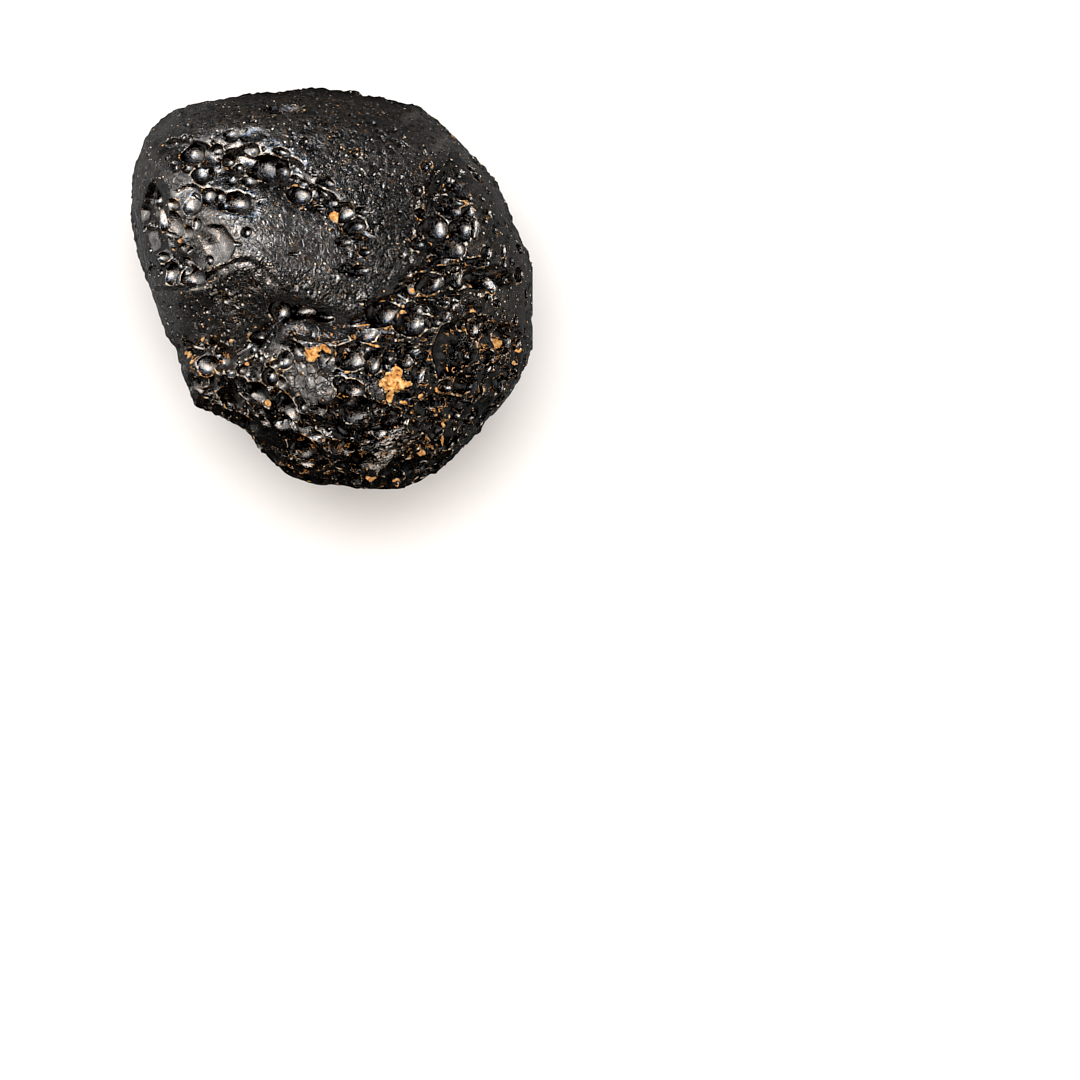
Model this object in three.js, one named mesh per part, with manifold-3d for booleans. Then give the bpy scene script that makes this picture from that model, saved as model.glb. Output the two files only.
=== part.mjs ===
// A splash-form tektite: one rounded lump of black natural glass, lying on a small flat spot.
// Millimetres, +Z up. The origin is on the surface it rests on, under the middle of its plan box.
// The plan outline is exact at the widest level and softens towards the crown and the base.
import * as THREE from "three";
import { mergeVertices } from "three/addons/utils/BufferGeometryUtils.js";
import Module from "manifold-3d";

// ---- driving dimensions ----------------------------------------------------------------------
const DETAIL = 19; // edge divisions of the icosahedron: 20 * (DETAIL + 1)^2 triangles
const GIRTH_Z = 12.9; // mean height of the widest level above the resting surface
const CROWN = 13.7; // from the widest level up to the crown, before the relief
const BELLY = 13.4; // from the widest level down to the uncut belly, so the flat spot is cut a little way up
const FULL_PLAN = 0.82; // exponents below 1 make the lump fuller than an ellipsoid
const FULL_TOP = 0.86;
const SHIFT_X = 0.18; // moves the plan box's middle onto the origin
const SHIFT_Y = -0.08;

// Plan radius at the widest level, every 5 degrees from +X towards +Y.
const PLAN = [
  18.67, 18.76, 18.7, 18.37, 18.18, 18.32, 18.37, 18.56, 18.39, 18.27, 18.48, 18.67,
  18.92, 19.03, 18.79, 18.76, 18.73, 18.73, 18.86, 19.14, 19.17, 19.36, 19.88, 20.3,
  20.93, 21.67, 22.4, 22.75, 22.8, 22.34, 21.74, 20.93, 20.27, 19.45, 18.6, 17.8,
  17.35, 16.88, 16.58, 16.32, 16.09, 16.11, 16.3, 16.5, 16.88, 16.44, 16.03, 15.78,
  15.94, 16.56, 17.07, 17.88, 18.16, 18.46, 18.39, 18.67, 19.17, 19.64, 19.88, 19.8,
  19.73, 19.42, 19.22, 19.12, 19.08, 19.29, 19.41, 19.52, 19.48, 19.48, 18.89, 18.95,
];

// Broad relief of the crown side: plan place, half-widths, turn in degrees, height (negative is a hollow).
const CROWN_RELIEF = [
  { x: -8.5, y: 6.0, a: 4.6, b: 3.0, turn: 20, h: 0.45 }, // smooth shoulder, upper left
  { x: -4.0, y: 1.6, a: 5.5, b: 2.4, turn: -25, h: 0.6 }, // high ground above the valley
  { x: 3.6, y: -10.4, a: 6.6, b: 4.6, turn: 10, h: 1.5 }, // lower lobe
  { x: 10.8, y: 0.3, a: 5.0, b: 1.3, turn: 12, h: -0.75 }, // trench on the right
  { x: 10.6, y: 4.8, a: 2.6, b: 1.7, turn: -20, h: -0.6 },
  { x: -4.9, y: 16.0, a: 2.2, b: 1.2, turn: 5, h: -0.35 }, // shallow dimple near the upper rim
  { x: -9.0, y: 11.4, a: 3.6, b: 1.5, turn: -12, h: -0.7 }, // row of bubble pits, upper left
  { x: -3.6, y: 8.9, a: 4.0, b: 1.3, turn: -32, h: -0.55 },
  { x: -15.6, y: 6.0, a: 2.2, b: 1.4, turn: -38, h: -0.75 }, // pits on the left flank
  { x: -12.6, y: 2.2, a: 2.0, b: 1.3, turn: -20, h: -0.5 },
];

// The valley across the crown, a thumbprint hollow on the left that narrows to a cleft: along its floor,
// the depth and the length of its long slope on the +Y side.
const VALLEY = [
  { x: -17.6, y: -4.6, depth: 0.0, north: 4.8 },
  { x: -15.2, y: -5.2, depth: 0.6, north: 5.0 },
  { x: -13.8, y: -5.6, depth: 1.0, north: 5.2 },
  { x: -12.5, y: -6.0, depth: 1.1, north: 5.8 },
  { x: -10.8, y: -6.6, depth: 1.1, north: 7.0 },
  { x: -8.6, y: -6.4, depth: 1.3, north: 7.6 },
  { x: -6.6, y: -5.4, depth: 1.4, north: 6.2 },
  { x: -5.1, y: -4.0, depth: 1.5, north: 4.0 },
  { x: -3.7, y: -2.9, depth: 1.4, north: 2.4 },
  { x: -2.0, y: -2.8, depth: 1.2, north: 1.7 },
  { x: 0.0, y: -3.4, depth: 0.9, north: 1.5 },
  { x: 2.3, y: -3.7, depth: 0.6, north: 1.4 },
  { x: 4.3, y: -3.4, depth: 0.45, north: 1.3 },
  { x: 6.1, y: -2.1, depth: 0.2, north: 1.2 },
  { x: 7.4, y: -1.3, depth: 0.0, north: 1.2 },
];
const VALLEY_SOUTH = 0.85; // how soon the short slope on the -Y side comes up again

// The crest above the valley: its height along the way.
const CREST = [
  { x: -16.2, y: -0.3, height: 0.15 },
  { x: -14.0, y: -0.6, height: 0.35 },
  { x: -11.4, y: 0.0, height: 0.5 },
  { x: -10.3, y: 0.9, height: 0.55 },
  { x: -8.2, y: 1.8, height: 0.55 },
  { x: -6.3, y: 1.5, height: 0.55 },
  { x: -5.3, y: 0.2, height: 0.5 },
  { x: -4.1, y: -1.4, height: 0.35 },
  { x: -2.3, y: -2.1, height: 0.15 },
];
const CREST_WIDTH = 1.7;

// Broad relief of the flanks and the belly: azimuth and elevation from the middle, spread, height.
const FLANK_RELIEF = [
  { az: 205, el: -14, spread: 15, h: -0.7 },
  { az: 250, el: -20, spread: 13, h: 0.55 },
  { az: 292, el: -22, spread: 17, h: -0.75 },
  { az: 335, el: -30, spread: 13, h: 0.6 },
  { az: 20, el: -24, spread: 16, h: -0.8 },
  { az: 62, el: -16, spread: 12, h: 0.5 },
  { az: 100, el: -30, spread: 16, h: -0.7 },
  { az: 146, el: -22, spread: 14, h: 0.6 },
  { az: 178, el: -38, spread: 13, h: -0.5 },
  { az: 84, el: 22, spread: 13, h: -0.35 },
  { az: 8, el: 24, spread: 12, h: 0.35 },
  { az: 318, el: 26, spread: 12, h: -0.4 },
  { az: 215, el: -52, spread: 15, h: -0.6 },
  { az: 40, el: -55, spread: 16, h: -0.55 },
  { az: 310, el: -58, spread: 14, h: 0.4 },
];

// ---- the surface -----------------------------------------------------------------------------
const N = PLAN.length;
const smooth = (a, b, v) => {
  const t = Math.min(1, Math.max(0, (v - a) / (b - a)));
  return t * t * (3 - 2 * t);
};

function planRadius(angle) {
  const u = ((angle / (2 * Math.PI)) * N + 2 * N) % N;
  const i = Math.floor(u), t = u - i;
  const p = [-1, 0, 1, 2].map((k) => PLAN[(i + k + N) % N]);
  return (
    0.5 * (2 * p[1] + (p[2] - p[0]) * t + (2 * p[0] - 5 * p[1] + 4 * p[2] - p[3]) * t * t +
      (3 * p[1] - p[0] - 3 * p[2] + p[3]) * t * t * t)
  );
}

const HARMONICS = [0, 1, 2, 3].map((k) => {
  let c = 0, s = 0;
  PLAN.forEach((r, i) => {
    c += r * Math.cos((2 * Math.PI * k * i) / N);
    s += r * Math.sin((2 * Math.PI * k * i) / N);
  });
  return [c * (k ? 2 : 1) / N, s * 2 / N];
});
const softRadius = (angle) =>
  HARMONICS.reduce((sum, [c, s], k) => sum + c * Math.cos(k * angle) + (k ? s * Math.sin(k * angle) : 0), 0);

// The lump without its relief, at a direction d from its middle.
function lump(d) {
  const angle = Math.atan2(d.y, d.x);
  const up = Math.abs(d.z), level = Math.sqrt(Math.max(0, 1 - d.z * d.z));
  const soft = smooth(0.12, 0.8, up);
  const radius = (planRadius(angle) * (1 - soft) + softRadius(angle) * soft) * level ** FULL_PLAN;
  const girth =
    GIRTH_Z + level * level * (0.9 * Math.sin(angle + 0.6) + 0.6 * Math.sin(2 * angle + 2.0) + 0.35 * Math.sin(3 * angle + 1.0));
  const x = radius * Math.cos(angle), y = radius * Math.sin(angle);
  let z = girth + Math.sign(d.z) * (d.z > 0 ? CROWN : BELLY) * up ** FULL_TOP;
  if (d.z > 0) z += smooth(0, 0.7, d.z) * (0.085 * y - 0.05 * x); // the crown leans up towards +Y
  return new THREE.Vector3(x, y, z);
}

function frameOf(d) {
  const e1 = new THREE.Vector3().crossVectors(Math.abs(d.z) < 0.9 ? new THREE.Vector3(0, 0, 1) : new THREE.Vector3(1, 0, 0), d).normalize();
  return [e1, new THREE.Vector3().crossVectors(d, e1)];
}

function outward(d) {
  const [e1, e2] = frameOf(d), step = 0.02;
  const at = (e, s) => lump(d.clone().addScaledVector(e, s).normalize());
  const a = at(e1, step).sub(at(e1, -step)), b = at(e2, step).sub(at(e2, -step));
  return a.cross(b).normalize();
}

// The nearest place on a plan line: how far it is, whether p lies to its left, and the line's values there.
function along(line, p) {
  let best = { far: Infinity };
  for (let i = 0; i + 1 < line.length; i++) {
    const a = line[i], b = line[i + 1];
    const ex = b.x - a.x, ey = b.y - a.y, qx = p.x - a.x, qy = p.y - a.y;
    const t = Math.min(1, Math.max(0, (qx * ex + qy * ey) / (ex * ex + ey * ey)));
    const far = Math.hypot(qx - t * ex, qy - t * ey);
    if (far >= best.far) continue;
    best = { far, left: ex * qy - ey * qx > 0 };
    for (const key of ["depth", "north", "height"]) best[key] = a[key] + (b[key] - a[key]) * t;
  }
  return best;
}

// A ramp from 0 to 1 with its foot rounded.
function softRamp(value) {
  const t = Math.min(1, Math.max(0, value));
  return (t < 0.2 ? 2.5 * t * t : t - 0.1) / 0.9;
}

function relief(d, p) {
  let h = 0;
  const crown = smooth(0.0, 0.3, d.z);
  for (const f of CROWN_RELIEF) {
    const c = Math.cos((f.turn * Math.PI) / 180), s = Math.sin((f.turn * Math.PI) / 180);
    const u = ((p.x - f.x) * c + (p.y - f.y) * s) / f.a, v = (-(p.x - f.x) * s + (p.y - f.y) * c) / f.b;
    h += crown * f.h * Math.exp(-0.5 * (u * u + v * v) * 1.6);
  }
  const floor = along(VALLEY, p);
  h -= crown * floor.depth * (floor.left ? softRamp(1 - floor.far / floor.north) : Math.exp(-((floor.far / VALLEY_SOUTH) ** 2)));
  const crest = along(CREST, p);
  h += crown * crest.height * Math.exp(-((crest.far / CREST_WIDTH) ** 2));
  for (const f of FLANK_RELIEF) {
    const az = (f.az * Math.PI) / 180, el = (f.el * Math.PI) / 180;
    const dot = d.x * Math.cos(el) * Math.cos(az) + d.y * Math.cos(el) * Math.sin(az) + d.z * Math.sin(el);
    const off = Math.acos(Math.min(1, Math.max(-1, dot))) / ((f.spread * Math.PI) / 180);
    h += f.h * Math.exp(-0.5 * off * off);
  }
  return h;
}

// ---- the faceted lump ------------------------------------------------------------------------
const wasm = await Module();
wasm.setup();

function asSolid(geometry) {
  const g = geometry.clone();
  g.deleteAttribute("normal");
  g.deleteAttribute("uv");
  const merged = mergeVertices(g, 1e-4);
  return new wasm.Manifold(
    new wasm.Mesh({ numProp: 3, vertProperties: merged.attributes.position.array, triVerts: new Uint32Array(merged.index.array) }),
  );
}

const skin = new THREE.IcosahedronGeometry(1, DETAIL);
const place = skin.attributes.position;
for (let i = 0; i < place.count; i++) {
  const d = new THREE.Vector3().fromBufferAttribute(place, i).normalize();
  const p = lump(d);
  p.addScaledVector(outward(d), relief(d, p));
  place.setXYZ(i, p.x + SHIFT_X, p.y + SHIFT_Y, p.z);
}

// The flat spot it rests on is a plane cut at Z 0.
const above = new THREE.BoxGeometry(100, 100, 100).translate(0, 0, 50);
const body = asSolid(skin).intersect(asSolid(above));
const cut = body.getMesh();
const points = new Float32Array(cut.numVert * 3);
for (let i = 0; i < cut.numVert; i++) points.set(cut.vertProperties.subarray(i * cut.numProp, i * cut.numProp + 3), i * 3);
const geometry = new THREE.BufferGeometry()
  .setAttribute("position", new THREE.BufferAttribute(points, 3))
  .setIndex(new THREE.BufferAttribute(new Uint32Array(cut.triVerts), 1));
geometry.computeVertexNormals();

const tektite = new THREE.Mesh(
  geometry,
  new THREE.MeshStandardMaterial({ color: new THREE.Color(0.018, 0.017, 0.017), roughness: 0.34, metalness: 0 }),
);
tektite.name = "tektite";

const part = new THREE.Group();
part.add(tektite);
export default part;
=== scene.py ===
"""Looks of the tektite: one closed mesh of black natural glass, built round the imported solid."""

import math

import bpy
import numpy as np
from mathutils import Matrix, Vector


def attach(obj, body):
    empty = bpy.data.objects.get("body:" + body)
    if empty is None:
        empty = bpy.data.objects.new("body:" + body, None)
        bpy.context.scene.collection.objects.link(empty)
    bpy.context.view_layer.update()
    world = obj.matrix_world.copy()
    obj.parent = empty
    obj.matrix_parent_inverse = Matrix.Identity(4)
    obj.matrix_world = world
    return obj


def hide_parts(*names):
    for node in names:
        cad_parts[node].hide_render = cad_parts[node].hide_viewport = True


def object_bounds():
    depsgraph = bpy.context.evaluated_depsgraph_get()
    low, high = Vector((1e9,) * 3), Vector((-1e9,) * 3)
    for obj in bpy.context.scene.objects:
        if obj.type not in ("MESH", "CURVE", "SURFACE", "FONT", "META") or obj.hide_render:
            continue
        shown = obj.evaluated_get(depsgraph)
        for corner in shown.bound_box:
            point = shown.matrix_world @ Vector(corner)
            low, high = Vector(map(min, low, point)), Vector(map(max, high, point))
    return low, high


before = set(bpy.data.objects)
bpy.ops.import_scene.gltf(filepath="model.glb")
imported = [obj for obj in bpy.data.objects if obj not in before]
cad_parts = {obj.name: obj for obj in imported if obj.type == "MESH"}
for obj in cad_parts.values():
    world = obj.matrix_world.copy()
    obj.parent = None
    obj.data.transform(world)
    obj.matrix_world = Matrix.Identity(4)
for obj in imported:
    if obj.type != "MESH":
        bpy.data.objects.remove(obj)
cad_lo, cad_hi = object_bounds()
MM = 0.001

# ---- the lump, as in the solid (millimetres) ---------------------------------------------------
GIRTH_Z, CROWN, BELLY = 12.9, 13.7, 13.4
FULL_PLAN, FULL_TOP = 0.82, 0.86
SHIFT_X, SHIFT_Y = 0.18, -0.08
PLAN = np.array([
    18.67, 18.76, 18.7, 18.37, 18.18, 18.32, 18.37, 18.56, 18.39, 18.27, 18.48, 18.67,
    18.92, 19.03, 18.79, 18.76, 18.73, 18.73, 18.86, 19.14, 19.17, 19.36, 19.88, 20.3,
    20.93, 21.67, 22.4, 22.75, 22.8, 22.34, 21.74, 20.93, 20.27, 19.45, 18.6, 17.8,
    17.35, 16.88, 16.58, 16.32, 16.09, 16.11, 16.3, 16.5, 16.88, 16.44, 16.03, 15.78,
    15.94, 16.56, 17.07, 17.88, 18.16, 18.46, 18.39, 18.67, 19.17, 19.64, 19.88, 19.8,
    19.73, 19.42, 19.22, 19.12, 19.08, 19.29, 19.41, 19.52, 19.48, 19.48, 18.89, 18.95,
])
# x, y, half-widths a and b, turn, height
CROWN_RELIEF = [
    (-8.5, 6.0, 4.6, 3.0, 20, 0.45),
    (-4.0, 1.6, 5.5, 2.4, -25, 0.6),
    (3.6, -10.4, 6.6, 4.6, 10, 1.5),
    (10.8, 0.3, 5.0, 1.3, 12, -0.75),
    (10.6, 4.8, 2.6, 1.7, -20, -0.6),
    (-4.9, 16.0, 2.2, 1.2, 5, -0.35),
    (-9.0, 11.4, 3.6, 1.5, -12, -0.7),
    (-3.6, 8.9, 4.0, 1.3, -32, -0.55),
    (-15.6, 6.0, 2.2, 1.4, -38, -0.75),
    (-12.6, 2.2, 2.0, 1.3, -20, -0.5),
]
# the valley across the crown: x, y, depth, length of its long north slope
VALLEY = [
    (-17.6, -4.6, 0.0, 4.8), (-15.2, -5.2, 0.6, 5.0), (-13.8, -5.6, 1.0, 5.2), (-12.5, -6.0, 1.1, 5.8),
    (-10.8, -6.6, 1.1, 7.0), (-8.6, -6.4, 1.3, 7.6), (-6.6, -5.4, 1.4, 6.2), (-5.1, -4.0, 1.5, 4.0),
    (-3.7, -2.9, 1.4, 2.4), (-2.0, -2.8, 1.2, 1.7), (0.0, -3.4, 0.9, 1.5), (2.3, -3.7, 0.6, 1.4),
    (4.3, -3.4, 0.45, 1.3), (6.1, -2.1, 0.2, 1.2), (7.4, -1.3, 0.0, 1.2),
]
VALLEY_SOUTH = 0.85  # how soon the short south slope comes up again
# the crest above the valley: x, y, height
CREST = [
    (-16.2, -0.3, 0.15), (-14.0, -0.6, 0.35), (-11.4, 0.0, 0.5), (-10.3, 0.9, 0.55), (-8.2, 1.8, 0.55),
    (-6.3, 1.5, 0.55), (-5.3, 0.2, 0.5), (-4.1, -1.4, 0.35), (-2.3, -2.1, 0.15),
]
CREST_WIDTH = 1.7
# azimuth, elevation, spread, height
FLANK_RELIEF = [
    (205, -14, 15, -0.7), (250, -20, 13, 0.55), (292, -22, 17, -0.75), (335, -30, 13, 0.6),
    (20, -24, 16, -0.8), (62, -16, 12, 0.5), (100, -30, 16, -0.7), (146, -22, 14, 0.6),
    (178, -38, 13, -0.5), (84, 22, 13, -0.35), (8, 24, 12, 0.35), (318, 26, 12, -0.4),
    (215, -52, 15, -0.6), (40, -55, 16, -0.55), (310, -58, 14, 0.4),
]


def smooth(a, b, v):
    t = np.clip((v - a) / (b - a), 0, 1)
    return t * t * (3 - 2 * t)


def plan_radius(angle):
    n = len(PLAN)
    u = ((angle / (2 * math.pi)) * n + 2 * n) % n
    i = np.floor(u).astype(int)
    t = u - i
    p0, p1, p2, p3 = (PLAN[(i + k) % n] for k in (-1, 0, 1, 2))
    return 0.5 * (2 * p1 + (p2 - p0) * t + (2 * p0 - 5 * p1 + 4 * p2 - p3) * t**2 + (3 * p1 - p0 - 3 * p2 + p3) * t**3)


def soft_radius(angle):
    a = 2 * math.pi * np.arange(len(PLAN)) / len(PLAN)
    out = np.full_like(angle, PLAN.mean())
    for k in (1, 2, 3):
        c, s = (PLAN * np.cos(k * a)).mean() * 2, (PLAN * np.sin(k * a)).mean() * 2
        out += c * np.cos(k * angle) + s * np.sin(k * angle)
    return out


def lump(d):
    angle = np.arctan2(d[:, 1], d[:, 0])
    up = np.abs(d[:, 2])
    level = np.sqrt(np.maximum(0, 1 - d[:, 2] ** 2))
    soft = smooth(0.12, 0.8, up)
    radius = (plan_radius(angle) * (1 - soft) + soft_radius(angle) * soft) * level**FULL_PLAN
    girth = GIRTH_Z + level**2 * (0.9 * np.sin(angle + 0.6) + 0.6 * np.sin(2 * angle + 2.0) + 0.35 * np.sin(3 * angle + 1.0))
    x, y = radius * np.cos(angle), radius * np.sin(angle)
    z = girth + np.sign(d[:, 2]) * np.where(d[:, 2] > 0, CROWN, BELLY) * up**FULL_TOP
    z += np.where(d[:, 2] > 0, smooth(0, 0.7, d[:, 2]) * (0.085 * y - 0.05 * x), 0)
    return np.stack([x, y, z], 1)


def unit(v):
    return v / np.maximum(np.linalg.norm(v, axis=-1, keepdims=True), 1e-12)


def outward(d):
    z, x = np.array([0.0, 0, 1]), np.array([1.0, 0, 0])
    e1 = unit(np.cross(np.where((np.abs(d[:, 2]) < 0.9)[:, None], z, x), d))
    e2 = np.cross(d, e1)
    step = 0.02
    a = lump(unit(d + step * e1)) - lump(unit(d - step * e1))
    b = lump(unit(d + step * e2)) - lump(unit(d - step * e2))
    return unit(np.cross(a, b))


def along(line, p):
    """Side (+1 is left), distance and interpolated values of the nearest place on a plan polyline."""
    best = np.full(len(p), 1e9)
    side = np.ones(len(p))
    values = np.zeros((len(line[0]) - 2, len(p)))
    for a, b in zip(line, line[1:]):
        ex, ey = b[0] - a[0], b[1] - a[1]
        qx, qy = p[:, 0] - a[0], p[:, 1] - a[1]
        t = np.clip((qx * ex + qy * ey) / (ex * ex + ey * ey), 0, 1)
        s = np.hypot(qx - t * ex, qy - t * ey)
        near = s < best
        best[near] = s[near]
        side[near] = np.where(ex * qy - ey * qx > 0, 1.0, -1.0)[near]
        for k in range(len(values)):
            values[k][near] = (a[k + 2] + (b[k + 2] - a[k + 2]) * t)[near]
    return side, best, values


def soft_ramp(t):
    """A ramp from 0 to 1 with its foot rounded."""
    t = np.clip(t, 0, 1)
    return np.where(t < 0.2, 2.5 * t * t, t - 0.1) / 0.9


def relief(d, p):
    h = np.zeros(len(d))
    crown = smooth(0.0, 0.3, d[:, 2])
    for x, y, a, b, turn, height in CROWN_RELIEF:
        c, s = math.cos(math.radians(turn)), math.sin(math.radians(turn))
        u = ((p[:, 0] - x) * c + (p[:, 1] - y) * s) / a
        v = (-(p[:, 0] - x) * s + (p[:, 1] - y) * c) / b
        h += crown * height * np.exp(-0.5 * (u * u + v * v) * 1.6)
    side, s, (depth, north) = along(VALLEY, p)
    h -= crown * depth * np.where(side > 0, soft_ramp(1 - s / north), np.exp(-((s / VALLEY_SOUTH) ** 2)))
    side, s, (height,) = along(CREST, p)
    h += crown * height * np.exp(-((s / CREST_WIDTH) ** 2))
    for az, el, spread, height in FLANK_RELIEF:
        az, el = math.radians(az), math.radians(el)
        dot = d @ np.array([math.cos(el) * math.cos(az), math.cos(el) * math.sin(az), math.sin(el)])
        off = np.arccos(np.clip(dot, -1, 1)) / math.radians(spread)
        h += height * np.exp(-0.5 * off * off)
    return h


def stone(d):
    """The solid's surface, before the flat spot is cut, and its outward directions."""
    p, n = lump(d), outward(d)
    return p + n * relief(d, p)[:, None] + np.array([SHIFT_X, SHIFT_Y, 0]), n


# ---- mesh helpers --------------------------------------------------------------------------------
def icosphere(levels):
    t = (1 + 5**0.5) / 2
    v = unit(np.array([
        (-1, t, 0), (1, t, 0), (-1, -t, 0), (1, -t, 0), (0, -1, t), (0, 1, t),
        (0, -1, -t), (0, 1, -t), (t, 0, -1), (t, 0, 1), (-t, 0, -1), (-t, 0, 1),
    ], float))
    f = np.array([
        (0, 11, 5), (0, 5, 1), (0, 1, 7), (0, 7, 10), (0, 10, 11), (1, 5, 9), (5, 11, 4), (11, 10, 2), (10, 7, 6), (7, 1, 8),
        (3, 9, 4), (3, 4, 2), (3, 2, 6), (3, 6, 8), (3, 8, 9), (4, 9, 5), (2, 4, 11), (6, 2, 10), (8, 6, 7), (9, 8, 1),
    ], np.int64)
    for _ in range(levels):
        n = len(v)
        e = np.sort(np.concatenate([f[:, [0, 1]], f[:, [1, 2]], f[:, [2, 0]]]), axis=1)
        key, inv = np.unique(e[:, 0] * n + e[:, 1], return_inverse=True)
        v = np.concatenate([v, unit(v[key // n] + v[key % n])])
        a, b, c = (inv.reshape(3, -1) + n)
        f = np.concatenate([np.stack(s, 1) for s in ((f[:, 0], a, c), (a, f[:, 1], b), (c, b, f[:, 2]), (a, b, c))])
    return v, f


def vertex_normals(p, f):
    a, b, c = p[f[:, 0]], p[f[:, 1]], p[f[:, 2]]
    fn = np.cross(b - a, c - a)
    n = np.stack([sum(np.bincount(f[:, k], fn[:, i], len(p)) for k in range(3)) for i in range(3)], 1)
    return unit(n)


class Noise:
    """Gradient noise on a lattice, from a seed."""

    def __init__(self, seed):
        r = np.random.RandomState(seed)
        self.perm = np.tile(r.permutation(256), 3)
        self.grad = unit(r.normal(size=(256, 3)))

    def __call__(self, p):
        i = np.floor(p).astype(int)
        f = p - i
        i &= 255
        w = f * f * f * (f * (f * 6 - 15) + 10)
        out = np.zeros(len(p))
        for dx in (0, 1):
            px = self.perm[i[:, 0] + dx]
            wx = w[:, 0] if dx else 1 - w[:, 0]
            for dy in (0, 1):
                py = self.perm[px + i[:, 1] + dy]
                wy = w[:, 1] if dy else 1 - w[:, 1]
                for dz in (0, 1):
                    g = self.grad[self.perm[py + i[:, 2] + dz]]
                    dot = (f[:, 0] - dx) * g[:, 0] + (f[:, 1] - dy) * g[:, 1] + (f[:, 2] - dz) * g[:, 2]
                    out += wx * wy * (w[:, 2] if dz else 1 - w[:, 2]) * dot
        return out * 1.6

    def layers(self, p, count, gain=0.5):
        out, a, total = np.zeros(len(p)), 1.0, 0.0
        for k in range(count):
            out += a * self(p * 2.03**k + 17.3 * k)
            total += a
            a *= gain
        return out / total


class Near:
    """Finds the points round a place, by cells."""

    def __init__(self, p, cell=0.8):
        self.cell, self.lo = cell, p.min(0) - 1
        ijk = ((p - self.lo) / cell).astype(np.int64)
        self.dim = ijk.max(0) + 3
        key = (ijk[:, 0] * self.dim[1] + ijk[:, 1]) * self.dim[2] + ijk[:, 2]
        self.order = np.argsort(key, kind="stable")
        self.key = key[self.order]

    def __call__(self, c, r):
        a = np.clip(np.floor((c - r - self.lo) / self.cell).astype(int), 0, self.dim - 1)
        b = np.clip(np.floor((c + r - self.lo) / self.cell).astype(int), 0, self.dim - 1)
        i, j = np.meshgrid(np.arange(a[0], b[0] + 1), np.arange(a[1], b[1] + 1), indexing="ij")
        base = (i.ravel() * self.dim[1] + j.ravel()) * self.dim[2]
        lo = np.searchsorted(self.key, base + a[2], "left")
        hi = np.searchsorted(self.key, base + b[2], "right")
        return np.concatenate([self.order[s:e] for s, e in zip(lo, hi)]) if len(lo) else np.zeros(0, int)


# ---- where things are in the photograph ----------------------------------------------------------
PX = 0.0942  # mm per photograph pixel at the widest level
REACH = 500.0  # the camera's height above the widest level
CAM = np.array([(540 - 333) * PX + SHIFT_X, (290 - 540) * PX + SHIFT_Y, 13.0 + REACH])


def ray(px, py, z):
    """Where the sight line of photograph pixel (px, py) is at height z."""
    x, y = CAM[0] + (px - 540) * PX, CAM[1] - (py - 540) * PX
    s = (CAM[2] - z) / REACH
    return CAM[0] + (x - CAM[0]) * s, CAM[1] + (y - CAM[1]) * s


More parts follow.
